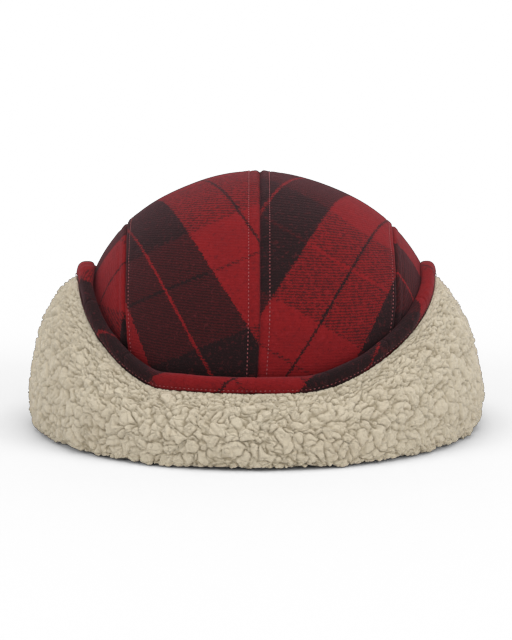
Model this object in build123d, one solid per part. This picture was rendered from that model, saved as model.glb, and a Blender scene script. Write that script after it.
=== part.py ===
from build123d import *
import os
from math import sin, cos, radians, hypot

os.makedirs("parts", exist_ok=True)

# Frame: Z up, the hat stands on z = 0, its back faces -Y and its front +Y. Millimetres.

# Crown
CROWN_A = 92.0          # outer half width, X
CROWN_B = 103.0         # outer half length, Y
CROWN_C = 77.0          # rise of the dome above the straight wall
WALL_TOP = 56.0         # height where the wall turns into the dome
CROWN_LOW = 10.0        # lower edge of the wool panels
WOOL = 2.5              # wool thickness
SIDE_SEAM = 70.0        # seams between top and side panels lie at x = +-70

# Lining and bands
LINING = 2.6            # quilted lining thickness
LINING_LOW = 30.2
SWEAT_LOW = 30.4
SWEAT_TOP = 54.0
SWEAT = 1.4
BAND_IN_A = 83.5        # inner half width of the pile band
BAND_IN_B = 94.5
BAND_OUT_A = 92.0       # outer half width of its foot
BAND_OUT_B = 103.0
BAND_FOOT = 9.9
BAND_TOP = 30.0
SKIN_GAP = 0.1          # play between layers that lie against each other

# Turned-up cuff, on the fold line ellipse
FOLD_A = 100.0
FOLD_B = 112.0
CUFF_END = 128.0        # the cuff runs from -128 to +128 degrees about the back
STRIPS = 12
STRIP_GAP = 0.30        # degrees between neighbouring strips
CUFF_LOW = 0.5
CUFF_IN = -7.3          # wool face next to the crown, measured out from the fold line
HEM_WIDE = 6.6          # thickness of the rolled hem
LEAN = 3.9              # how far the top of the cuff over the ears leans in
LEAN_LOW = 52.0
HEM_HIGH = 8.4
BACK_HEIGHT = 35.4      # lower edge of the hem at the back
SIDE_HEIGHT = 78.0      # over the ears
END_HEIGHT = 65.0       # and where the cuff ends beside the front flap
LEFT_CLIMB = (30.0, 80.0)    # degrees from the back over which the hem climbs
RIGHT_CLIMB = (16.0, 84.0)
PEAK = 86.0
PILE_BACK = 18.0        # pile bulge beyond the fold line at the back and front
PILE_SIDE = 20.8        # and over the ears
PILE_FOOT = 15.5        # how far out the pile stands on the table

# Front flap, stitched up against the crown
FRONT_START = 131.0
FRONT_END = 229.0
FRONT_SECTIONS = 13
FRONT_IN = -7.6
FRONT_LOW = 10.2
FRONT_HEIGHT = 64.0
FRONT_HEM_OUT = -1.5
FRONT_PILE_IN = -5.1


def dome(a, b, c, low):
    """Solid of the crown's form: an oval wall that closes in an ellipsoid."""
    base = Line((0, low), (a, low))
    wall = Line((a, low), (a, WALL_TOP))
    top = EllipticalCenterArc((0, WALL_TOP), a, c, start_angle=0, arc_size=90)
    axis = Line((0, WALL_TOP + c), (0, low))
    face = Plane.XZ * make_face([base, wall, top, axis])
    return scale(revolve(face, Axis.Z), by=(1, b / a, 1))


def shell(inset, thick, low):
    """Dome-shaped layer lying the given inset inside the crown's outer face."""
    outside = dome(CROWN_A - inset, CROWN_B - inset, CROWN_C - inset, low)
    deep = inset + thick
    inside = dome(CROWN_A - deep, CROWN_B - deep, CROWN_C - deep, low - 1)
    return outside - inside


def slab(x_low, x_high):
    """Block that keeps what lies between two planes across the hat."""
    middle = (x_low + x_high) / 2
    return Pos(middle, 0, 80) * Box(x_high - x_low, 300, 200)


def four_panels(layer, name):
    """Cut a layer into two top panels and two side panels along the seams."""
    cuts = {
        "left_side": (-150, -SIDE_SEAM),
        "left_top": (-SIDE_SEAM, 0),
        "right_top": (0, SIDE_SEAM),
        "right_side": (SIDE_SEAM, 150),
    }
    for place, (low, high) in cuts.items():
        export_step(layer & slab(low, high), "parts/%s_%s.step" % (place, name))


def oval_ring(out_a, out_b, in_a, in_b, low, high):
    """Upright oval ring between two heights."""
    flat = Ellipse(out_a, out_b) - Ellipse(in_a, in_b)
    return Pos(0, 0, low) * extrude(flat, high - low)


def sweatband():
    a = CROWN_A - WOOL - SKIN_GAP - LINING - SKIN_GAP
    b = CROWN_B - WOOL - SKIN_GAP - LINING - SKIN_GAP
    return oval_ring(a, b, a - SWEAT, b - SWEAT, SWEAT_LOW, SWEAT_TOP)


def pile_band():
    """Band round the head opening: a wide foot to stand on and a thin upright."""
    foot = oval_ring(BAND_OUT_A, BAND_OUT_B, BAND_IN_A, BAND_IN_B, 0, BAND_FOOT)
    up_a = CROWN_A - WOOL - SKIN_GAP
    up_b = CROWN_B - WOOL - SKIN_GAP
    upright = oval_ring(up_a, up_b, BAND_IN_A, BAND_IN_B, BAND_FOOT, BAND_TOP)
    return foot + upright


def section(turn, points):
    """Closed outline standing across the fold line, turn degrees from the back."""
    s = sin(radians(turn))
    c = cos(radians(turn))
    size = hypot(FOLD_B * s, FOLD_A * c)
    nx = FOLD_B * s / size
    ny = -FOLD_A * c / size
    px = FOLD_A * s
    py = -FOLD_B * c
    return Wire.make_polygon(
        [Vector(px + nx * n, py + ny * n, z) for n, z in points], close=True
    )


def hem_height(turn):
    """Height of the hem's lower edge: low at the back, high over the ears."""
    away = abs(turn)
    start, end = LEFT_CLIMB if turn < 0 else RIGHT_CLIMB
    k = min(max((away - start) / (end - start), 0.0), 1.0)
    climb = (k * k * (3 - 2 * k) + k**1.2) / 2
    d = min(max((away - PEAK) / (CUFF_END - PEAK), 0.0), 1.0)
    drop = (SIDE_HEIGHT - END_HEIGHT) * d * d * (3 - 2 * d)
    return BACK_HEIGHT + (SIDE_HEIGHT - BACK_HEIGHT) * climb - drop


def lean_in(high):
    """How far the cuff leans towards the crown at a height."""
    k = max(high - LEAN_LOW, 0.0) / (SIDE_HEIGHT - LEAN_LOW)
    return -LEAN * k * k


def pile_bulge(turn):
    return PILE_BACK + (PILE_SIDE - PILE_BACK) * sin(radians(turn)) ** 2


def levels(low, high):
    """Heights at which the layers of the cuff have a corner."""
    return [low + (high - low) * share for share in (0.0, 0.55, 0.7, 0.85, 1.0)]


def fullness(turn):
    """Power of the upper curve of the pile; the left side is a little fuller."""
    return 0.77 + 0.05 * sin(radians(turn))


def pile_outline(face_in, face_top, turn, top, leaning):
    """Outline of the plump pile: flat foot, full belly, drawn in under the hem."""
    bulge = pile_bulge(turn)
    belly = 8.0 + 0.08 * top
    points = [(PILE_FOOT, CUFF_LOW)]
    for step in range(1, 4):
        v = cos(radians(90.0 * step / 4))
        out = PILE_FOOT + (bulge - PILE_FOOT) * (1 - v * v) ** 0.5
        points.append((out, belly - (belly - CUFF_LOW) * v))
    points.append((bulge, belly))
    for step in range(1, 6):
        u = sin(radians(90.0 * step / 6))
        out = face_top + (bulge - face_top) * (1 - u * u) ** fullness(turn)
        points.append((out, belly + (top - belly) * u))
    points.append((face_top, top))
    for high in reversed(levels(CUFF_LOW, top)):
        points.append((face_in + (lean_in(high) if leaning else 0.0), high))
    return points


def hem_outline(face_in, face_out, low):
    """Outline of the rolled hem, rounded along its top."""
    return [
        (face_in, low),
        (face_out, low),
        (face_out, low + 0.6 * HEM_HIGH),
        (face_out - 1.6, low + HEM_HIGH),
        (face_in + 1.6, low + HEM_HIGH),
        (face_in, low + 0.7 * HEM_HIGH),
    ]


def sheet_outline(face_in, low, high, leaning):
    """Outline of a standing layer of wool."""
    inner = [(face_in + (lean_in(z) if leaning else 0.0), z) for z in levels(low, high)]
    thick = WOOL - SKIN_GAP
    return inner + [(n + thick, z) for n, z in reversed(inner)]


def sweep(turns, outline):
    """Solid running through the outline at each of the given turns."""
    return Solid.make_loft([section(turn, outline(turn)) for turn in turns], ruled=True)


def cuff_wool(turn):
    return sheet_outline(CUFF_IN, CUFF_LOW, hem_height(turn) - SKIN_GAP, True)


def cuff_pile(turn):
    top = hem_height(turn) - SKIN_GAP
    face_top = CUFF_IN + HEM_WIDE - 0.5 + lean_in(top)
    return pile_outline(CUFF_IN + WOOL, face_top, turn, top, True)


def cuff_hem(turn):
    low = hem_height(turn)
    face = CUFF_IN + lean_in(low)
    return hem_outline(face, face + HEM_WIDE, low)


def front_wool(turn):
    return sheet_outline(FRONT_IN, FRONT_LOW, FRONT_HEIGHT - SKIN_GAP, False)


def front_pile(turn):
    top = FRONT_HEIGHT - SKIN_GAP
    return pile_outline(FRONT_PILE_IN, FRONT_HEM_OUT, turn, top, False)


def front_hem(turn):
    return hem_outline(FRONT_IN, FRONT_HEM_OUT, FRONT_HEIGHT)


def strip_name(index):
    """Strips are numbered from the left ear round the back to the right ear."""
    group = ["left_ear", "neck", "right_ear"][index * 3 // STRIPS]
    return group, index % (STRIPS // 3) + 1


def cuff():
    """The folding cuff, in strips that turn together about the fold line."""
    width = 2 * CUFF_END / STRIPS
    for index in range(STRIPS):
        start = -CUFF_END + width * index + STRIP_GAP / 2
        end = -CUFF_END + width * (index + 1) - STRIP_GAP / 2
        turns = [start + (end - start) * step / 4 for step in range(5)]
        group, number = strip_name(index)
        for layer, outline in (("wool", cuff_wool), ("pile", cuff_pile), ("hem", cuff_hem)):
            solid = sweep(turns, outline)
            export_step(solid, "parts/%s_%s_%d.step" % (group, layer, number))


def front_flap():
    step = (FRONT_END - FRONT_START) / (FRONT_SECTIONS - 1)
    turns = [FRONT_START + step * index for index in range(FRONT_SECTIONS)]
    export_step(sweep(turns, front_wool), "parts/front_flap_wool.step")
    export_step(sweep(turns, front_pile), "parts/front_flap_pile.step")
    export_step(sweep(turns, front_hem), "parts/front_flap_hem.step")


four_panels(shell(0, WOOL, CROWN_LOW), "panel")
four_panels(shell(WOOL + SKIN_GAP, LINING, LINING_LOW), "lining")
export_step(sweatband(), "parts/sweatband.step")
export_step(pile_band(), "parts/pile_band.step")
front_flap()
cuff()
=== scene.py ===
import math

import bmesh
import bpy
import numpy as np
from mathutils import Matrix, Vector, noise


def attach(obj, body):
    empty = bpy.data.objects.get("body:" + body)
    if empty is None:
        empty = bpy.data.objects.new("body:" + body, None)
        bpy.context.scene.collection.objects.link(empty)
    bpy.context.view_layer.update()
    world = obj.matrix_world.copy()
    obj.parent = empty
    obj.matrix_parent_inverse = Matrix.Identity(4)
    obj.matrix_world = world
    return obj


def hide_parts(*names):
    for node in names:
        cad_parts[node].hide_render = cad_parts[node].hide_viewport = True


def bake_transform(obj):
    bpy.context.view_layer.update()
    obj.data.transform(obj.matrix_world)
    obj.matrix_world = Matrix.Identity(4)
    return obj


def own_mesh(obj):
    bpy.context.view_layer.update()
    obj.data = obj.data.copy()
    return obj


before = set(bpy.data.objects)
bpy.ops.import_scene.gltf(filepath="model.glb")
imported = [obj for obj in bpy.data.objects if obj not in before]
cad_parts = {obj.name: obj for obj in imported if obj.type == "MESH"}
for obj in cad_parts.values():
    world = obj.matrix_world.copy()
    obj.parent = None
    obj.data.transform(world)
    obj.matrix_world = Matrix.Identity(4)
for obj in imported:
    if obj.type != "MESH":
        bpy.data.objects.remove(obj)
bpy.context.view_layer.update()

noise.seed_set(5)  # the offsets of noise_vector differ from run to run without it

# Everything is in metres, Z up; the hat's back faces -Y.

# ------------------------------------------------------------------ sizes
CROWN_A = 0.092
CROWN_B = 0.103
CROWN_C = 0.077
LONGER = CROWN_B - CROWN_A
WALL_TOP = 0.056
CROWN_LOW = 0.010
SIDE_SEAM = 0.070
SEAM_TURN = math.asin(SIDE_SEAM / CROWN_A)

FOLD_A = 0.100
FOLD_B = 0.112
CUFF_END = 128.0
STRIPS = 12
CUFF_IN = -0.0073
HEM_WIDE = 0.0066
HEM_HIGH = 0.0084
LEAN = 0.0039
LEAN_LOW = 0.052
BACK_HEIGHT = 0.0354
SIDE_HEIGHT = 0.078
END_HEIGHT = 0.065
LEFT_CLIMB = (30.0, 80.0)
RIGHT_CLIMB = (16.0, 84.0)
PEAK = 86.0

FRONT_START = 131.0
FRONT_END = 229.0
FRONT_HEIGHT = 0.064
FRONT_IN = -0.0076
FRONT_HEM = 0.0061

PILE_FOOT = 0.0155  # how far out from the fold line the pile stands on the table
PILE_BACK = 0.018  # how far out it bulges at the back and front
PILE_SIDE = 0.0208  # and over the ears

PANEL_THICK = 0.0022
CUFF_THICK = 0.0016
LINING_THICK = 0.001
LINING_IN = 0.0042  # middle of the lining, inside the crown's form

MM = 0.001
FINE = 0.00062  # mesh size of the pile
COARSE = 1  # divides the mesh of the cloth pieces


def smooth(x):
    x = min(max(x, 0.0), 1.0)
    return x * x * (3 - 2 * x)


def bell(d, width):
    return math.exp(-((d / width) ** 2))


# ------------------------------------------------------------------ making pieces
def new_piece(name, bm, material, body, replaced=()):
    """Turn a bmesh into a finished piece that rides on a body."""
    mesh = bpy.data.meshes.new(name)
    bm.to_mesh(mesh)
    bm.free()
    piece = bpy.data.objects.new(name, mesh)
    bpy.context.scene.collection.objects.link(piece)
    mesh.materials.append(material)
    if body:
        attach(piece, body)
    if replaced:
        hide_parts(*replaced)
    return piece


def grid(columns, rows):
    """Flat unit grid with a UV layer; its corners are at 0 and 1."""
    bm = bmesh.new()
    bm.loops.layers.uv.new("UVMap")
    bmesh.ops.create_grid(bm, x_segments=columns, y_segments=rows, size=0.5)
    bmesh.ops.translate(bm, vec=(0.5, 0.5, 0), verts=bm.verts)
    return bm


def shape_grid(bm, place):
    """Move each grid point to place(p, q), which gives a point and its cloth position."""
    layer = bm.loops.layers.uv["UVMap"]
    cloth = {}
    for v in bm.verts:
        p, q = v.co.x, v.co.y
        point, uv = place(min(max(p, 0), 1), min(max(q, 0), 1))
        v.co = point
        cloth[v.index] = uv
    for face in bm.faces:
        for loop in face.loops:
            loop[layer].uv = cloth[loop.vert.index]
        face.smooth = True


def face_out(bm):
    bmesh.ops.recalc_face_normals(bm, faces=bm.faces)


def thicken(bm, thick):
    """Turn a sheet into a thin closed layer."""
    face_out(bm)
    bmesh.ops.solidify(bm, geom=list(bm.faces), thickness=thick)
    face_out(bm)


# ------------------------------------------------------------------ crown form
TABLE = 400
arch_turns = np.linspace(-math.pi / 2, math.pi / 2, TABLE)
arch_step = np.hypot(
    CROWN_B * np.cos((arch_turns[1:] + arch_turns[:-1]) / 2),
    CROWN_C * np.sin((arch_turns[1:] + arch_turns[:-1]) / 2),
) * (arch_turns[1] - arch_turns[0])
arch_length = np.concatenate([[0], np.cumsum(arch_step)])
ARCH = float(arch_length[-1])
WALL = WALL_TOP - CROWN_LOW
WALL_SHARE = 0.17  # share of a run across the crown that each straight wall takes


def crown_point(beta, run, inset=0.0):
    """Point on the crown, with its arch angle and the cloth length up to it.

    beta turns left (-) or right (+) of the centre line, and run goes from 0 at
    the back edge to 1 at the front edge.
    """
    a = CROWN_A - inset
    b = CROWN_B - inset
    c = CROWN_C - inset
    k = math.cos(beta)
    x = a * math.sin(beta)
    if run < WALL_SHARE:
        drop = WALL * (1 - run / WALL_SHARE)
        return Vector((x, -b * k, WALL_TOP - drop)), -math.pi / 2, -drop
    if run > 1 - WALL_SHARE:
        drop = WALL * (1 - (1 - run) / WALL_SHARE)
        return Vector((x, b * k, WALL_TOP - drop)), math.pi / 2, ARCH * k + drop
    turn = -math.pi / 2 + math.pi * (run - WALL_SHARE) / (1 - 2 * WALL_SHARE)
    length = float(np.interp(turn, arch_turns, arch_length)) * k
    return Vector((x, b * k * math.sin(turn), WALL_TOP + c * k * math.cos(turn))), turn, length


def crown_normal(point):
    z = max(point.z - WALL_TOP, 0) / CROWN_C**2
    return Vector((point.x / CROWN_A**2, point.y / CROWN_B**2, z)).normalized()


def seam_speed(beta, turn):
    """Cloth length per radian of beta at an arch angle."""
    along = CROWN_A * math.cos(beta)
    down = math.hypot(CROWN_B * math.sin(turn), CROWN_C * math.cos(turn)) * math.sin(beta)
    return math.hypot(along, down)


def arch_angle(point):
    if point.z <= WALL_TOP:
        return math.pi / 2 if point.y > 0 else -math.pi / 2
    return math.atan2(point.y / CROWN_B, (point.z - WALL_TOP) / CROWN_C)


ROW_CENTRE = 5.2 * MM  # where each stitch row presses the cloth in beside its seam
ROW_TOP = 3.6 * MM
ROW_SIDE = 5.0 * MM


def seam_relief(d, row):
    """Height of the cloth at a distance from a turned seam: a groove, a ridge, a stitch dip."""
    relief = -0.9 * MM * bell(d, 0.9 * MM)
    relief += 0.30 * MM * bell(d - 2.2 * MM, 1.5 * MM)
    relief -= 0.25 * MM * bell(d - row, 0.6 * MM)
    relief += 0.10 * MM * bell(d - row - 2.2 * MM, 1.6 * MM)
    return relief


def crown_relief(point):
    """How far the wool stands off the plain form: seams, puckers and soft folds."""
    beta = math.asin(min(max(point.x / CROWN_A, -1), 1))
    turn = arch_angle(point)
    d_centre = seam_speed(beta / 2, turn) * abs(beta)
    d_side = seam_speed(SEAM_TURN, turn) * abs(abs(beta) - SEAM_TURN)
    row = ROW_TOP if abs(beta) < SEAM_TURN else ROW_SIDE
    relief = seam_relief(d_centre, ROW_CENTRE) + seam_relief(d_side, row)
    pucker = noise.noise(point * 160)
    relief += 0.35 * MM * pucker * (bell(d_centre, 9 * MM) + bell(d_side, 9 * MM))
    relief += 0.9 * MM * noise.noise(point * 26 + Vector((3, 7, 1)))
    return relief


SHOULDER_DROP = 2.4 * MM
LEAN_RIGHT = 2.1 * MM
DRAW_IN = 0.085  # share of the seam's angle by which it draws in at the lower edge


def lean(point):
    """The stuffed crown isn't quite even: it leans right, and its right shoulder is lower."""
    x = point.x / CROWN_A
    rise = smooth((point.z - 0.04) / 0.09)
    point.z -= SHOULDER_DROP * rise * smooth(x * 1.4) * (1 - 0.3 * abs(x))
    point.x += LEAN_RIGHT * smooth((point.z - 0.02) / 0.06)
    return point


def draw_in(point):
    """The side seams curve inwards towards the lower edge: shift the cloth around the crown."""
    beta = math.asin(min(abs(point.x) / CROWN_A, 1))
    left = math.pi / 2 - beta
    share = beta / SEAM_TURN if beta < SEAM_TURN else left / (math.pi / 2 - SEAM_TURN)
    shift = DRAW_IN * SEAM_TURN * smooth((0.080 - point.z) / 0.05) * share
    if left < 1e-4 or shift == 0:
        return point.copy()
    ratio = math.cos(beta - shift) / math.cos(beta)
    z = point.z if point.z < WALL_TOP else WALL_TOP + (point.z - WALL_TOP) * ratio
    x = math.copysign(CROWN_A * math.sin(beta - shift), point.x)
    return Vector((x, point.y * ratio, z))


def on_crown(point, lift=0.0):
    """Move a point of the even form to where the wool's face is."""
    relief = crown_relief(point)
    drawn = draw_in(point)
    return lean(drawn + crown_normal(drawn) * (relief + lift))


def top_panel(side):
    """p runs from the centre seam to the side seam, q from the back edge to the front edge."""

    def place(p, q):
        beta = side * SEAM_TURN * p
        point, turn, length = crown_point(beta, q)
        beta = math.asin(min(abs(draw_in(point).x) / CROWN_A, 1))
        return on_crown(point), plaid_place(side, seam_speed(beta / 2, turn) * beta, length)

    return place


CHECK = 0.115  # repeat of the check, both ways
WARP_TURN = {-1: math.radians(57), 1: math.radians(58)}
WEFT_TURN = {-1: math.radians(24), 1: math.radians(31)}
CHECK_START = {-1: (-0.002, 0.0708), 1: (0.048, 0.0270)}
SIDE_CHECK = {-1: 0.010, 1: 0.074}  # where the check starts on the side panels
SIDE_CHECK_HIGH = 0.1275

# the cloth is eased over the top of the head, so the check opens out there
ease_at = np.linspace(-0.05, ARCH + 0.05, 800)
ease_from_edge = np.minimum(ease_at, ARCH - ease_at)
ease_rate = np.maximum(0.55, 1 - 7.5 * np.maximum(ease_from_edge - 0.03, 0))
ease_step = (ease_rate[1:] + ease_rate[:-1]) / 2 * np.diff(ease_at)
eased = np.concatenate([[0], np.cumsum(ease_step)])
eased -= np.interp(0, ease_at, eased)


def plaid_place(side, across, along):
    t, r = WARP_TURN[side], WEFT_TURN[side]
    along = float(np.interp(along, ease_at, eased))
    u = across * math.sin(t) - along * math.cos(t)
    v = across * math.sin(r) + along * math.cos(r)
    return u - CHECK_START[side][0], v - CHECK_START[side][1]


SIDE_Y = CROWN_B * math.cos(SEAM_TURN)


def side_panel(side):
    """p runs from the back corner to the front corner, q from the lower edge to the seam."""

    def place(p, q):
        y = SIDE_Y * math.sin((p - 0.5) * math.pi * 0.999)
        left = max(1 - math.sin(SEAM_TURN) ** 2 - (y / CROWN_B) ** 2, 0)
        top = WALL_TOP + CROWN_C * math.sqrt(left)
        z = CROWN_LOW + (top - CROWN_LOW) * q
        rise = max(z - WALL_TOP, 0) / CROWN_C
        x = CROWN_A * math.sqrt(max(1 - rise**2 - (y / CROWN_B) ** 2, 0))
        x = max(x, SIDE_SEAM)
        point = Vector((side * x, y, z))
        u = CROWN_B * math.asin(y / CROWN_B)
        v = z if z < WALL_TOP else WALL_TOP + CROWN_C * math.asin(min(rise, 1))
        cloth = (u + SIDE_CHECK[side] + 0.2 * (v - WALL_TOP), v - SIDE_CHECK_HIGH)
        return on_crown(point), cloth

    return place


# ------------------------------------------------------------------ the fold line
def fold_frame(turn):
    """Point on the fold line and the direction out from it, turn degrees from the back."""
    s = math.sin(math.radians(turn))
    c = math.cos(math.radians(turn))
    size = math.hypot(FOLD_B * s, FOLD_A * c)
    return Vector((FOLD_A * s, -FOLD_B * c, 0)), Vector((FOLD_B * s / size, -FOLD_A * c / size, 0))


def from_fold(turn, out, high):
    point, away = fold_frame(turn)
    return point + away * out + Vector((0, 0, high))


turn_table = np.linspace(-180, 180, 721)
turn_points = np.array([fold_frame(t)[0] for t in turn_table])
turn_length = np.concatenate([[0], np.cumsum(np.linalg.norm(np.diff(turn_points, axis=0), axis=1))])


def fold_length(turn):
    """Length along the fold line from the middle of the back."""
    wrapped = (turn + 180) % 360 - 180
    extra = turn_length[-1] if turn > 180 else 0
    return float(np.interp(wrapped, turn_table, turn_length)) - turn_length[360] + extra


def hem_low(turn):
    """Height of the hem's lower edge: low at the back, high over the ears."""
    if turn > FRONT_START - 1:
        return FRONT_HEIGHT
    away = abs(turn)
    start, end = LEFT_CLIMB if turn < 0 else RIGHT_CLIMB
    k = min(max((away - start) / (end - start), 0), 1)
    climb = (smooth(k) + k**1.2) / 2
    drop = (SIDE_HEIGHT - END_HEIGHT) * smooth((away - PEAK) / (CUFF_END - PEAK))
    return BACK_HEIGHT + (SIDE_HEIGHT - BACK_HEIGHT) * climb - drop


def lean_in(turn, high):
    """How far the cuff leans towards the crown at a height; the front flap stands straight."""
    if turn > FRONT_START - 1:
        return 0.0
    k = max(high - LEAN_LOW, 0.0) / (SIDE_HEIGHT - LEAN_LOW)
    return -LEAN * k * k


def end_round(turn, first, last, width):
    """Falls from 1 to 0 over the last few degrees before an open end."""
    d = min(turn - first, last - turn) / width
    return math.sqrt(max(1 - (1 - min(max(d, 0), 1)) ** 2, 0))


# ------------------------------------------------------------------ pile
CURL = 0.0068  # width of a curl low on the belly
CURL_FINER = 0.0012  # and how much narrower it is under the binding
CURL_HIGH = 3.8 * MM
CURL_MIDDLE = 0.62  # tuft height that lies on the plain form
SWELL = 1.3 * MM
LIFT = 0.0012  # height of the pile's underside
FLOOR_GAP = 0.0006
BELLY_SHARE = 0.62  # shares of the outline where the belly ends and the foot begins
FOOT_SHARE = 0.80
BACK_SHARE = 0.10  # share of the section that lies against the wool


def tufts(point, size, fine=0.0):
    """Height of the curled pile, from 0 in the creases to about 1 on the nubs.

    Wide warped cells make the curls and smaller ones split them. fine, from 0 to
    1, gives the small cells more of the height.
    """
    warp = noise.noise_vector(point / (size * 1.6)) * size * 0.70
    warp += noise.noise_vector(point / (size * 0.55) + Vector((9, 2, 5))) * size * 0.26
    near, spots = noise.voronoi((point + warp) / size)
    crease = smooth((near[1] - near[0]) / 0.20)
    dome = 1 - min(near[0], 1) ** 2
    tall = 0.72 + 0.28 * noise.cell(spots[0] * 7.3)
    small, inner = noise.voronoi((point + warp * 0.7) / (size * 0.55) + Vector((4, 4, 4)))
    part = smooth((small[1] - small[0]) / 0.22)
    curl = part * (0.8 + 0.2 * noise.cell(inner[0] * 5.1))
    soft = noise.noise(point / (size * 0.25)) * 0.5
    share = 0.72 - 0.34 * fine
    return share * tall * (0.6 * crease + 0.4 * dome) + (0.97 - share) * curl + 0.14 * soft


def fullness(turn):
    """Power of the upper curve of the pile; the left side is a little fuller."""
    return 0.77 + 0.05 * math.sin(math.radians(turn))


def belly_outline(q, face, face_top, bulge, top, power):
    """Outline of the plump pile: q runs from under the hem over the belly to the foot."""
    belly = 0.008 + 0.08 * top
    if q < BELLY_SHARE:
        u = math.sin(math.radians(90 * (1 - q / BELLY_SHARE)))
        out = face_top + (bulge - face_top) * (1 - u * u) ** power
        return out, belly + (top - belly) * u
    if q < FOOT_SHARE:
        v = math.sin(math.radians(90 * (q - BELLY_SHARE) / (FOOT_SHARE - BELLY_SHARE)))
        out = PILE_FOOT + (bulge - PILE_FOOT) * math.sqrt(1 - v * v)
        return out, belly - (belly - LIFT) * v
    return PILE_FOOT + (face - PILE_FOOT) * (q - FOOT_SHARE) / (1 - FOOT_SHARE), LIFT


def pile_bulge(turn):
    return PILE_BACK + (PILE_SIDE - PILE_BACK) * math.sin(math.radians(turn)) ** 2


def tube(first, last, columns, rows, place):
    """Closed piece along the fold line, with flat ends.

    place(turn, q) gives a point, its cloth position and its tuft height. The
    section closes where q = 0 meets q = 1.
    """
    bm = grid(columns, rows)
    tuft = bm.verts.layers.float.new("tuft")
    layer = bm.loops.layers.uv["UVMap"]
    cloth = {}
    for v in bm.verts:
        turn = first + (last - first) * v.co.x
        q = min(v.co.y, 1.0)
        point, uv, depth = place(turn, q if q < 0.9999 else 0.0)
        if q >= 0.9999:
            uv = place(turn, 1.0)[1]
        v.co = point
        v[tuft] = depth
        cloth[v.index] = uv
    for face in bm.faces:
        face.smooth = True
        for loop in face.loops:
            loop[layer].uv = cloth[loop.vert.index]
    bmesh.ops.remove_doubles(bm, verts=bm.verts, dist=2e-6)
    ends = [e for e in bm.edges if e.is_boundary]
    for e in ends:
        e.smooth = False
    bmesh.ops.holes_fill(bm, edges=ends, sides=0)
    face_out(bm)
    return bm


def pile_place(first, last, face, face_top):
    """Pile between two open ends of the cuff, with its nubs and creases."""

    def outer(turn, q):
        top = hem_low(turn) + 0.0005
        full = end_round(turn, first, last, 8.0)
        high_face = face_top + lean_in(turn, top)
        bulge = high_face + (pile_bulge(turn) - high_face) * (0.3 + 0.7 * full) - 0.0008
        top -= 0.004 * (1 - full)
        form = (face, high_face, bulge, top, fullness(turn))
        out, high = belly_outline(q, *form)
        o1, h1 = belly_outline(max(q - 0.004, 0), *form)
        o2, h2 = belly_outline(min(q + 0.004, 1), *form)
        spot, away = fold_frame(turn)
        slope = Vector((o2 - o1, h2 - h1)).normalized()
        normal = away * (-slope.y) + Vector((0, 0, slope.x))
        point = spot + away * out + Vector((0, 0, high))
        fine = 1 - smooth(q / 0.45)
        height = tufts(point, CURL - CURL_FINER * fine, fine)
        strength = (0.22 + 0.78 * smooth(q / 0.16)) * (0.35 + 0.65 * smooth((1 - q) / 0.14))
        swell = SWELL * noise.noise(point * 42)
        point += normal * ((height - CURL_MIDDLE) * CURL_HIGH * strength + swell * strength)
        point.z = max(point.z, FLOOR_GAP)
        return point, height

    def place(turn, q):
        length = fold_length(turn)
        if q <= 1 - BACK_SHARE:
            point, height = outer(turn, q / (1 - BACK_SHARE))
            return point, (length, q * 0.14), height
        k = (q - 1 + BACK_SHARE) / BACK_SHARE
        low, _ = outer(turn, 1.0)
        high, _ = outer(turn, 0.0)
        point = low.lerp(high, k)
        if k < 1:
            level = low.z + (high.z - low.z) * k
            keep = from_fold(turn, face + lean_in(turn, level), level)
            point = point.lerp(keep, math.sin(k * math.pi) ** 0.5)
        return point, (length, q * 0.14), 0.3

    return place


# ------------------------------------------------------------------ binding
TUCK = 2.4  # degrees of each strip's binding and wool that tuck under its neighbour's
STITCHES_UP = 2.0 * MM  # height of the stitches above the binding's lower edge
ROLL_POWER = 0.72  # below 1 the roll's section is fuller than a plain oval


def hem_place(face_in, wide_all, first, last):
    """Rolled binding: a full, slightly uneven roll with a dip along its stitches."""

    def place(turn, q):
        low = hem_low(turn)
        turn_round = 2 * math.pi * (q + 0.65)
        s, c = math.sin(turn_round), math.cos(turn_round)
        slim = 1 - 0.16 * smooth((max(first - turn, turn - last) + 0.1) / 0.2)
        knob = 0.42 * bell(turn + 88, 15) + 0.20 * bell(turn - 90, 14)
        wide = wide_all / 2
        tall = HEM_HIGH / 2
        out = face_in + lean_in(turn, low) + wide - 3.4 * MM * knob
        out += wide * slim * (1 + 0.9 * knob) * math.copysign(abs(c) ** ROLL_POWER, c)
        high = low + tall + tall * slim * math.copysign(abs(s) ** ROLL_POWER, s)
        out += 0.45 * lean_in(turn, low) * (high - low) / HEM_HIGH
        point = from_fold(turn, out, high)
        away = fold_frame(turn)[1]
        normal = (away * c + Vector((0, 0, s))).normalized()
        rise = 0.45 * MM * noise.noise(point * 70)
        if c > 0.2:
            rise -= 0.40 * MM * bell(high - low - STITCHES_UP, 0.9 * MM)
            rise += 0.30 * MM * noise.noise(Vector((fold_length(turn) * 240, 3, 1)))
        point += normal * rise
        across = q * 0.026 - 0.0091
        return point, bias(fold_length(turn), across), 0.5

    return place


def bias(length, across):
    return (length - across) * 0.70711 - 0.0172, (length + across) * 0.70711 - 0.0185


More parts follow.
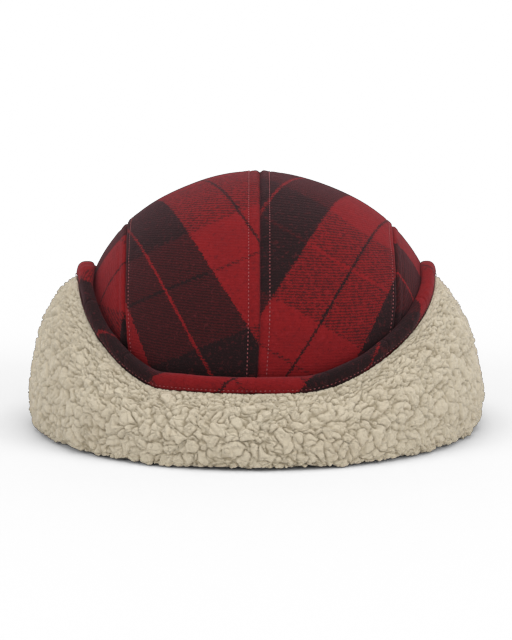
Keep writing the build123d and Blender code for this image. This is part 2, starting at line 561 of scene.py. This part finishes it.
# ------------------------------------------------------------------ materials
class Net:
    """Short hand for building node trees."""

    def __init__(self, tree):
        self.tree = tree

    def node(self, kind, **settings):
        made = self.tree.nodes.new(kind)
        for key, value in settings.items():
            setattr(made, key, value)
        return made

    def plug(self, value, socket):
        if isinstance(value, bpy.types.NodeSocket):
            self.tree.links.new(value, socket)
        elif value is not None:
            socket.default_value = value

    def math(self, operation, a, b=None, c=None):
        made = self.node("ShaderNodeMath", operation=operation)
        for index, value in enumerate((a, b, c)):
            if value is not None:
                self.plug(value, made.inputs[index])
        return made.outputs[0]

    def mix(self, share, a, b, blend="MIX"):
        made = self.node("ShaderNodeMix", data_type="RGBA", blend_type=blend)
        self.plug(share, made.inputs[0])
        self.plug(a, made.inputs[6])
        self.plug(b, made.inputs[7])
        return made.outputs[2]

    def noise(self, vector, scale, detail=2.0, roughness=0.5):
        made = self.node("ShaderNodeTexNoise")
        self.plug(vector, made.inputs["Vector"])
        self.plug(scale, made.inputs["Scale"])
        self.plug(detail, made.inputs["Detail"])
        self.plug(roughness, made.inputs["Roughness"])
        return made.outputs["Fac"]

    def spread(self, value, low, high, to_low=0.0, to_high=1.0):
        made = self.node("ShaderNodeMapRange", interpolation_type="SMOOTHSTEP")
        for socket, amount in zip(made.inputs, (value, low, high, to_low, to_high)):
            self.plug(amount, socket)
        return made.outputs[0]


def group(name, sockets_in, sockets_out):
    tree = bpy.data.node_groups.new(name, "ShaderNodeTree")
    for label, kind in sockets_in:
        tree.interface.new_socket(label, in_out="INPUT", socket_type=kind)
    for label, kind in sockets_out:
        tree.interface.new_socket(label, in_out="OUTPUT", socket_type=kind)
    return tree


FLOAT, COLOR, VECTOR = "NodeSocketFloat", "NodeSocketColor", "NodeSocketVector"

WARP_RED = (0.205, 0.0085, 0.0095, 1)
WEFT_RED = (0.185, 0.0075, 0.0095, 1)
BLACK = (0.0105, 0.0065, 0.0066, 1)
TWILL = 0.00175  # from rib to rib
LINE = 0.0062  # half width of the thin lines, as a share of the check
LINE_AT = (0.5, 0.545)  # where the thin lines are centred, in each thread direction


def check_group():
    """Two-colour woven check with a thin line down the middle of each band."""
    tree = group(
        "woven_check",
        [("Cloth", VECTOR), ("Object", VECTOR), ("Repeat", FLOAT), ("Line", FLOAT)],
        [("Color", COLOR), ("Height", FLOAT)],
    )
    net = Net(tree)
    start = net.node("NodeGroupInput")
    end = net.node("NodeGroupOutput")
    apart = net.node("ShaderNodeSeparateXYZ")
    net.plug(start.outputs["Cloth"], apart.inputs[0])
    cloth = [apart.outputs[0], apart.outputs[1]]
    fuzz = net.math("SUBTRACT", net.noise(start.outputs["Object"], 1100.0, 2.0), 0.5)
    dark = []
    for axis, shift in zip(cloth, LINE_AT):
        wobble = net.math("MULTIPLY_ADD", fuzz, 0.0042, axis)
        place = net.math("FRACT", net.math("DIVIDE", wobble, start.outputs["Repeat"]))
        band = net.math("LESS_THAN", place, 0.5)
        off = net.math("ABSOLUTE", net.math("SUBTRACT", place, shift))
        off = net.math("ABSOLUTE", net.math("SUBTRACT", off, 0.25))
        line = net.math("LESS_THAN", off, start.outputs["Line"])
        dark.append(net.math("ABSOLUTE", net.math("SUBTRACT", band, line)))
    warp = net.mix(dark[0], WARP_RED, BLACK)
    weft = net.mix(dark[1], WEFT_RED, BLACK)
    # twill ribs run at a slant to the threads, and the nap breaks them up
    slope = net.math("SUBTRACT", cloth[1], net.math("MULTIPLY", cloth[0], 0.55))
    wave = net.math("MULTIPLY_ADD", fuzz, 0.0024, slope)
    rib = net.math("SINE", net.math("MULTIPLY", wave, 2 * math.pi / TWILL))
    hair = net.noise(start.outputs["Object"], 1500.0, 3.0, 0.7)
    curly = net.noise(start.outputs["Object"], 520.0, 3.0, 0.6)
    broken = net.math("MULTIPLY_ADD", net.math("SUBTRACT", curly, 0.5), 3.6, rib)
    broken = net.math("MULTIPLY_ADD", net.math("SUBTRACT", hair, 0.5), 2.4, broken)
    under = net.spread(broken, -0.9, 1.3)
    share = net.math("MULTIPLY_ADD", dark[0], -0.54, 0.74)
    shown = net.math("MULTIPLY", under, share)
    shown = net.math("ADD", shown, net.math("MULTIPLY_ADD", dark[0], -0.03, 0.07))
    colour = net.mix(shown, warp, weft)
    patch = net.noise(start.outputs["Object"], 60.0, 4.0, 0.6)
    # worn patches, dark and light curls of nap, light and dark hairs
    layers = (
        (patch, 0.35, 0.7, 0.16, (0.03, 0.008, 0.010, 1)),
        (curly, 0.52, 0.70, 0.30, (0.03, 0.006, 0.009, 1)),
        (curly, 0.46, 0.30, 0.12, (0.34, 0.035, 0.045, 1)),
        (hair, 0.58, 0.72, 0.26, (0.26, 0.05, 0.07, 1)),
        (hair, 0.42, 0.30, 0.35, (0.018, 0.005, 0.006, 1)),
    )
    for mask, low, high, strength, tint in layers:
        colour = net.mix(net.spread(mask, low, high, 0.0, strength), colour, tint)
    net.plug(colour, end.inputs["Color"])
    height = net.math("MULTIPLY_ADD", rib, 0.30, hair)
    net.plug(height, end.inputs["Height"])
    return tree


def blank(name):
    """New material, with its node helper and its shader."""
    material = bpy.data.materials.new(name)
    material.use_nodes = True
    net = Net(material.node_tree)
    shader = material.node_tree.nodes["Principled BSDF"]
    return material, net, shader


def bump(net, height, strength, distance):
    made = net.node("ShaderNodeBump")
    made.inputs["Strength"].default_value = strength
    made.inputs["Distance"].default_value = distance
    net.plug(height, made.inputs["Height"])
    return made.outputs[0]


CHECK_GROUP = check_group()


def wool_material():
    material, net, shader = blank("checked_wool")
    where = net.node("ShaderNodeTexCoord")
    check = net.node("ShaderNodeGroup", node_tree=CHECK_GROUP)
    net.plug(where.outputs["UV"], check.inputs["Cloth"])
    net.plug(where.outputs["Object"], check.inputs["Object"])
    check.inputs["Repeat"].default_value = CHECK
    check.inputs["Line"].default_value = LINE
    net.plug(check.outputs["Color"], shader.inputs["Base Color"])
    net.plug(bump(net, check.outputs["Height"], 0.55, 0.0004), shader.inputs["Normal"])
    shader.inputs["Roughness"].default_value = 0.92
    shader.inputs["Specular IOR Level"].default_value = 0.12
    shader.inputs["Sheen Weight"].default_value = 0.11
    shader.inputs["Sheen Roughness"].default_value = 0.45
    shader.inputs["Sheen Tint"].default_value = (1.0, 0.42, 0.50, 1)
    return material


# the crease colour is painted shade: a darker cream laid into the pile's creases, where shade falls
PAINTED_CREASE_SHADE = (0.38, 0.322, 0.225, 1)
NUB_CREAM = (0.582, 0.512, 0.388, 1)
WARM_CREAM = (0.52, 0.44, 0.32, 1)
FIBRE_SHADE = (0.30, 0.26, 0.20, 1)


def pile_material():
    material, net, shader = blank("curled_pile")
    where = net.node("ShaderNodeTexCoord").outputs["Object"]
    depth = net.node("ShaderNodeAttribute", attribute_name="tuft").outputs["Fac"]
    fibre = net.noise(where, 900.0, 4.0, 0.65)
    curl = net.noise(where, 330.0, 3.0, 0.6)
    wide = net.noise(where, 45.0, 3.0, 0.5)
    # painted shade: where the tuft height is low, in the creases, the pile takes the darker crease
    # colour; the nubs keep the plain cream
    level = net.math("MULTIPLY_ADD", net.math("SUBTRACT", curl, 0.5), 0.35, depth)
    colour = net.mix(net.spread(level, 0.12, 0.52), PAINTED_CREASE_SHADE, NUB_CREAM)
    colour = net.mix(net.spread(wide, 0.4, 0.75, 0.0, 0.30), colour, WARM_CREAM)
    colour = net.mix(net.spread(fibre, 0.35, 0.62, 0.14, 0.0), colour, FIBRE_SHADE)
    net.plug(colour, shader.inputs["Base Color"])
    height = net.math("MULTIPLY_ADD", curl, 0.8, fibre)
    net.plug(bump(net, height, 0.6, 0.0007), shader.inputs["Normal"])
    shader.inputs["Roughness"].default_value = 0.95
    shader.inputs["Specular IOR Level"].default_value = 0.1
    shader.inputs["Sheen Weight"].default_value = 0.25
    shader.inputs["Sheen Roughness"].default_value = 0.5
    return material


def plain_cloth(name, colour, fleck, sheen):
    material, net, shader = blank(name)
    where = net.node("ShaderNodeTexCoord").outputs["Object"]
    grain = net.noise(where, 1400.0, 2.0, 0.6)
    net.plug(net.mix(net.spread(grain, 0.35, 0.65), colour, fleck), shader.inputs["Base Color"])
    net.plug(bump(net, grain, 0.4, 0.0002), shader.inputs["Normal"])
    shader.inputs["Roughness"].default_value = 0.55
    shader.inputs["Specular IOR Level"].default_value = 0.35
    shader.inputs["Sheen Weight"].default_value = sheen
    return material


WOOL = wool_material()
PILE = pile_material()
LINING = plain_cloth("lining_satin", (0.012, 0.010, 0.011, 1), (0.035, 0.03, 0.032, 1), 0.2)
TAPE = plain_cloth("sweat_tape", (0.02, 0.018, 0.018, 1), (0.05, 0.045, 0.045, 1), 0.1)
THREAD = plain_cloth("rose_thread", (0.27, 0.055, 0.06, 1), (0.36, 0.10, 0.105, 1), 0.1)


# ------------------------------------------------------------------ crown pieces
def sewn_panel(name, place, columns, rows, node):
    """Wool panel of the crown, with its outer face on the given shape."""
    bm = grid(columns, rows)
    shape_grid(bm, place)
    bmesh.ops.remove_doubles(bm, verts=bm.verts, dist=1e-5)
    face_out(bm)
    facing = sum(f.normal.dot(crown_normal(f.calc_center_median())) for f in bm.faces)
    if facing < 0:
        bmesh.ops.reverse_faces(bm, faces=bm.faces)
    bmesh.ops.solidify(bm, geom=list(bm.faces), thickness=PANEL_THICK)
    return new_piece(name, bm, WOOL, "crown", [node])


SIDES = ((-1, "left"), (1, "right"))
PANEL_COLUMNS = 110 // COARSE
for side, word in SIDES:
    place = top_panel(side)
    top = sewn_panel(
        word + "_top_wool", place, PANEL_COLUMNS, 300 // COARSE, word + "_top_panel"
    )
    place = side_panel(side)
    flank = sewn_panel(
        word + "_side_wool", place, PANEL_COLUMNS, 90 // COARSE, word + "_side_panel"
    )


PITCH = 0.0021  # from stitch to stitch
STITCH_LIFT = 0.00022


def stitch_row(name, spots, body, long=0.0012, thick=0.00024):
    """A row of small stitches; each spot is a point, a direction along and a normal."""
    bm = bmesh.new()
    for point, along, normal in spots:
        x = along.normalized()
        z = (normal - x * normal.dot(x)).normalized()
        y = z.cross(x)
        turn = Matrix((x, y, z)).transposed().to_4x4()
        size = Matrix.Diagonal((long / 2, thick, thick * 0.8, 1))
        place = Matrix.Translation(point) @ turn @ size
        bmesh.ops.create_uvsphere(bm, u_segments=6, v_segments=4, radius=1, matrix=place)
    for face in bm.faces:
        face.smooth = True
    return new_piece(name, bm, THREAD, body)


def spots_along(points, normals, pitch):
    """Evenly spaced stitch spots on a line of points."""
    out = []
    gap = 0.0
    for index in range(1, len(points)):
        step = points[index] - points[index - 1]
        length = step.length
        while gap < length:
            k = gap / length
            out.append((points[index - 1].lerp(points[index], k), step, normals[index]))
            gap += pitch
        gap -= length
    return out


def crown_line(side, offset, seam):
    """Points of a stitch row on the crown, a fixed distance from a seam."""
    points, normals = [], []
    count = 400
    for index in range(count + 1):
        run = 0.02 + 0.96 * index / count
        turn = crown_point(seam, run)[1]
        beta = seam + offset / seam_speed(seam, turn)
        point = crown_point(beta, run)[0]
        point = Vector((side * point.x, point.y, point.z))
        normals.append(crown_normal(point))
        points.append(on_crown(point, STITCH_LIFT))
    return points, normals


CENTRE_ROWS = {-1: 5.8 * MM, 1: 4.9 * MM}  # distance of each row from the centre seam
for side, word in SIDES:
    line = crown_line(side, CENTRE_ROWS[side], 0.0)
    stitch_row(word + "_centre_stitches", spots_along(*line, PITCH), "crown")
    line = crown_line(side, -ROW_TOP, SEAM_TURN)
    stitch_row(word + "_side_seam_stitches", spots_along(*line, PITCH), "crown")


FOLD_SHARE = 0.25  # share of the cuff's cloth, by rows, that goes round the fold
CLOTH_IN = -0.0054  # outer face of the cuff's cloth, measured out from the fold line


def strip_name(index):
    """Strips are numbered from the left ear round the back to the right ear."""
    return ["left_ear", "neck", "right_ear"][index * 3 // STRIPS], index % (STRIPS // 3) + 1


def cuff_sheet_bm(first, last, columns, inner):
    """Wool from the crown's lower edge, round the fold and up inside the cuff.

    Where a strip tucks under its neighbour's it lies further in by inner.
    """
    bm = grid(columns, 44)

    def place(p, q):
        turn = first + (last - first) * p
        top = hem_low(turn) + 0.003
        if q < FOLD_SHARE:
            k = q / FOLD_SHARE
            out = -0.0104 + 0.0050 * smooth(k)
            high = 0.013 - 0.0075 * math.sin(math.pi * k) - 0.003 * k
        else:
            k = (q - FOLD_SHARE) / (1 - FOLD_SHARE)
            high = CROWN_LOW + (top - CROWN_LOW) * k
            out = CLOTH_IN + lean_in(turn, high)
        if not first + TUCK < turn < last - TUCK:
            out -= inner
        point = from_fold(turn, out, high)
        point += fold_frame(turn)[1] * 0.2 * MM * noise.noise(point * 60)
        return point, (fold_length(turn), q * 0.11)

    shape_grid(bm, place)
    thicken(bm, CUFF_THICK)
    return bm


def hem_stitches(name, first, last, face, body):
    """Row of stitches along the binding's outer face."""
    points, normals = [], []
    count = 60
    for index in range(count + 1):
        turn = first + (last - first) * index / count
        low = hem_low(turn)
        out = face + lean_in(turn, low) - 0.00045
        points.append(from_fold(turn, out, low + STITCHES_UP))
        normals.append(fold_frame(turn)[1])
    return stitch_row(name, spots_along(points, normals, PITCH * 1.1), body, 0.0011, 0.00019)


def pile_columns(first, last):
    """Mesh columns of a piece of pile, as wide as its rows are high."""
    return int((last - first) / 360 * 0.78 / FINE)


PILE_ROWS = int(0.14 / FINE)
PILE_FACE = CUFF_IN + 0.0025
PILE_FACE_TOP = CUFF_IN + HEM_WIDE - 0.0005
cuff_pile = pile_place(-CUFF_END, CUFF_END, PILE_FACE, PILE_FACE_TOP)
width = 2 * CUFF_END / STRIPS
for index in range(STRIPS):
    first = -CUFF_END + width * index
    last = first + width
    group_name, number = strip_name(index)
    body = "%s_%d" % (group_name, number)
    tag = "%s_%%s_%d" % (group_name, number)
    bm = tube(first, last, pile_columns(first, last), PILE_ROWS, cuff_pile)
    pile = new_piece(tag % "curls", bm, PILE, body, [tag % "pile"])
    low_end = first - (TUCK if index > 0 else 0)
    high_end = last + (TUCK if index < STRIPS - 1 else 0)
    bm = tube(low_end, high_end, 48 // COARSE, 36, hem_place(CUFF_IN, HEM_WIDE, first, last))
    hem = new_piece(tag % "binding", bm, WOOL, body, [tag % "hem"])
    stitches = hem_stitches(tag % "binding_stitches", first, last, CUFF_IN + HEM_WIDE, body)
    bm = cuff_sheet_bm(low_end, high_end, 28, 0.0004 if index % 2 else 0.0)
    cloth = new_piece(tag % "cloth", bm, WOOL, None, [tag % "wool"])
    middle = (first + last) / 2
    spot, away = fold_frame(middle)
    # the cloth rides on no body: its transform is baked into its mesh, and the direction out from
    # the fold is worked out but not used
    along = away + Vector((0, 0, 0.3))
    along.normalize()
    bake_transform(cloth)
    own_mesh(pile)

# ------------------------------------------------------------------ front flap
FRONT_CLOTH = FRONT_HEIGHT - 0.008  # height of the wool behind the front pile
place = pile_place(FRONT_START, FRONT_END, FRONT_IN + 0.0025, FRONT_IN + FRONT_HEM)
bm = tube(FRONT_START, FRONT_END, pile_columns(FRONT_START, FRONT_END), PILE_ROWS, place)
front_pile = new_piece("front_flap_curls", bm, PILE, "crown", ["front_flap_pile"])
place = hem_place(FRONT_IN, FRONT_HEM, FRONT_START, FRONT_END)
bm = tube(FRONT_START, FRONT_END, 180 // COARSE, 36, place)
front_hem = new_piece("front_flap_binding", bm, WOOL, "crown", ["front_flap_hem"])
hem_stitches("front_flap_binding_stitches", FRONT_START, FRONT_END, FRONT_IN + FRONT_HEM, "crown")


def front_sheet(p, q):
    turn = FRONT_START + (FRONT_END - FRONT_START) * p
    point = from_fold(turn, FRONT_IN + 0.0023, 0.0105 + FRONT_CLOTH * q)
    return point, (fold_length(turn), q * 0.06)


bm = grid(90, 12)
shape_grid(bm, front_sheet)
thicken(bm, PANEL_THICK)
front_cloth = new_piece("front_flap_cloth", bm, WOOL, "crown", ["front_flap_wool"])


# ------------------------------------------------------------------ inside
BAND_IN = 0.0835  # half widths of the pile band round the opening
BAND_OUT = 0.0920
BAND_UP = 0.0894
BAND_TOP = 0.030
BAND_FOOT = 0.0098
BAND_OUTLINE = (
    (BAND_OUT, 0.0),
    (BAND_IN, 0.0),
    (BAND_IN, BAND_TOP),
    (BAND_UP, BAND_TOP),
    (BAND_UP, BAND_FOOT),
    (BAND_OUT, BAND_FOOT),
    (BAND_OUT, 0.0),
)


def inner_band(turn, q):
    """Pile that lines the opening, up to the lining: curls on its underside and inside."""
    s, c = math.sin(math.radians(turn)), math.cos(math.radians(turn))
    where = q * 6
    index = min(int(where), 5)
    k = where - index
    a, z = (
        low + (high - low) * k
        for low, high in zip(BAND_OUTLINE[index], BAND_OUTLINE[index + 1])
    )
    point = Vector((a * s, -(a + LONGER) * c, z))
    height = tufts(point, 0.0052)
    away = Vector((s, -c, 0))
    if index < 2:
        face = Vector((0, 0, 1)) if index == 0 else -away
        edge = min(k, 1 - k) * 6
        point += face * (height - 0.35) * (1.6 if index == 1 else 0.8) * MM * smooth(edge)
    point.z = max(point.z, 0.0)
    return point, (turn * 0.0016, q * 0.08), height


bm = tube(0, 360, int(0.55 / (FINE * 1.6)), 90 // COARSE, inner_band)
bmesh.ops.remove_doubles(bm, verts=bm.verts, dist=2e-6)
band = new_piece("opening_pile", bm, PILE, "crown", ["pile_band"])


def quilt(point):
    """Relief of the quilted lining: puffs between diagonal stitch channels."""
    u = (point.x + point.y + point.z * 0.6) / 0.028
    v = (point.x - point.y + point.z * 0.6) / 0.028
    return 1.3 * MM * (abs(math.sin(math.pi * u)) ** 0.5 * abs(math.sin(math.pi * v)) ** 0.5 - 0.5)


def lining_panel(side, is_top):
    outer = side_panel(side)

    def place(p, q):
        if is_top:
            beta = side * SEAM_TURN * p
            point = crown_point(beta, 0.045 + 0.91 * q, LINING_IN)[0]
        else:
            point = outer(p, 0.2 + 0.8 * q)[0]
            point = point - crown_normal(point) * LINING_IN
        normal = crown_normal(point)
        beta = math.asin(min(abs(point.x) / (CROWN_A - LINING_IN), 1))
        seam = abs(beta - SEAM_TURN) * 0.09
        puff = quilt(point) * smooth(seam / 0.004)
        return lean(point - normal * puff), (p * 0.09, q * 0.3)

    return place


for side, word in SIDES:
    for is_top, where in ((True, "top"), (False, "side")):
        bm = grid(70 // COARSE, (180 if is_top else 60) // COARSE)
        shape_grid(bm, lining_panel(side, is_top))
        bmesh.ops.remove_doubles(bm, verts=bm.verts, dist=1e-5)
        thicken(bm, LINING_THICK)
        name = "%s_%s_quilting" % (word, where)
        piece = new_piece(name, bm, LINING, "crown", ["%s_%s_lining" % (word, where)])


TAPE_A = 0.0860  # half width of the sweat tape, and the height of its middle
TAPE_Z = 0.042


def sweat_tape(turn, q):
    """Tape round the inside, a little thicker along its two sewn edges."""
    s, c = math.sin(math.radians(turn)), math.cos(math.radians(turn))
    r = 2 * math.pi * q
    a = TAPE_A + 0.0007 * math.cos(r)
    z = TAPE_Z + 0.0115 * math.copysign(abs(math.sin(r)) ** 0.35, math.sin(r))
    a += 0.0004 * bell(abs(z - TAPE_Z) - 0.0095, 0.0008) * (1 if math.cos(r) > 0 else -1)
    point = Vector((a * s, -(a + LONGER) * c, z))
    return point, (turn * 0.0016, q * 0.05), 0.5


bm = tube(0, 360, 240, 24, sweat_tape)
new_piece("sweat_tape", bm, TAPE, "crown", ["sweatband"])

# ------------------------------------------------------------------ floor, light, camera
bm = bmesh.new()
bmesh.ops.create_grid(bm, x_segments=1, y_segments=1, size=3.0)
mesh = bpy.data.meshes.new("floor")
bm.to_mesh(mesh)
bm.free()
floor = bpy.data.objects.new("floor", mesh)
bpy.context.scene.collection.objects.link(floor)
floor_material, net, shader = blank("pale_floor")
shader.inputs["Base Color"].default_value = (0.9, 0.9, 0.9, 1)
shader.inputs["Roughness"].default_value = 0.9
mesh.materials.append(floor_material)
floor.is_shadow_catcher = True


def soft_light(name, place, target, size, power):
    lamp = bpy.data.lights.new(name, "AREA")
    lamp.shape = "RECTANGLE"
    lamp.size, lamp.size_y = size
    lamp.energy = power
    made = bpy.data.objects.new(name, lamp)
    bpy.context.scene.collection.objects.link(made)
    made.location = place
    made.rotation_euler = (Vector(target) - Vector(place)).to_track_quat("-Z", "Y").to_euler()
    return made


MIDDLE = (0, 0, 0.05)
soft_light("overhead", (0.0, -0.1, 1.3), MIDDLE, (1.2, 1.0), 9)
soft_light("left_box", (-1.2, -0.8, 0.7), MIDDLE, (0.8, 0.8), 4)
soft_light("right_box", (1.2, -0.8, 0.7), MIDDLE, (0.8, 0.8), 6)

world = bpy.data.worlds.new("studio")
bpy.context.scene.world = world
world.use_nodes = True
net = Net(world.node_tree)
back = world.node_tree.nodes["Background"]
path = net.node("ShaderNodeLightPath")
ROOM_GREY = (0.62, 0.62, 0.63, 1)
WHITE = (1.0, 1.0, 1.0, 1)
net.plug(net.mix(path.outputs["Is Camera Ray"], ROOM_GREY, WHITE), back.inputs[0])

scene = bpy.context.scene
scene.view_settings.view_transform = "Standard"
lens = bpy.data.cameras.new("camera")
lens.lens = 200
lens.sensor_width = 36
camera = bpy.data.objects.new("camera", lens)
scene.collection.objects.link(camera)
TILT = math.radians(9.5)
DISTANCE = 1.883
aim = Vector((0.0, 0, 0.0549))
camera.location = aim + DISTANCE * Vector((0, -math.cos(TILT), math.sin(TILT)))
camera.rotation_euler = (aim - camera.location).to_track_quat("-Z", "Y").to_euler()
scene.camera = camera
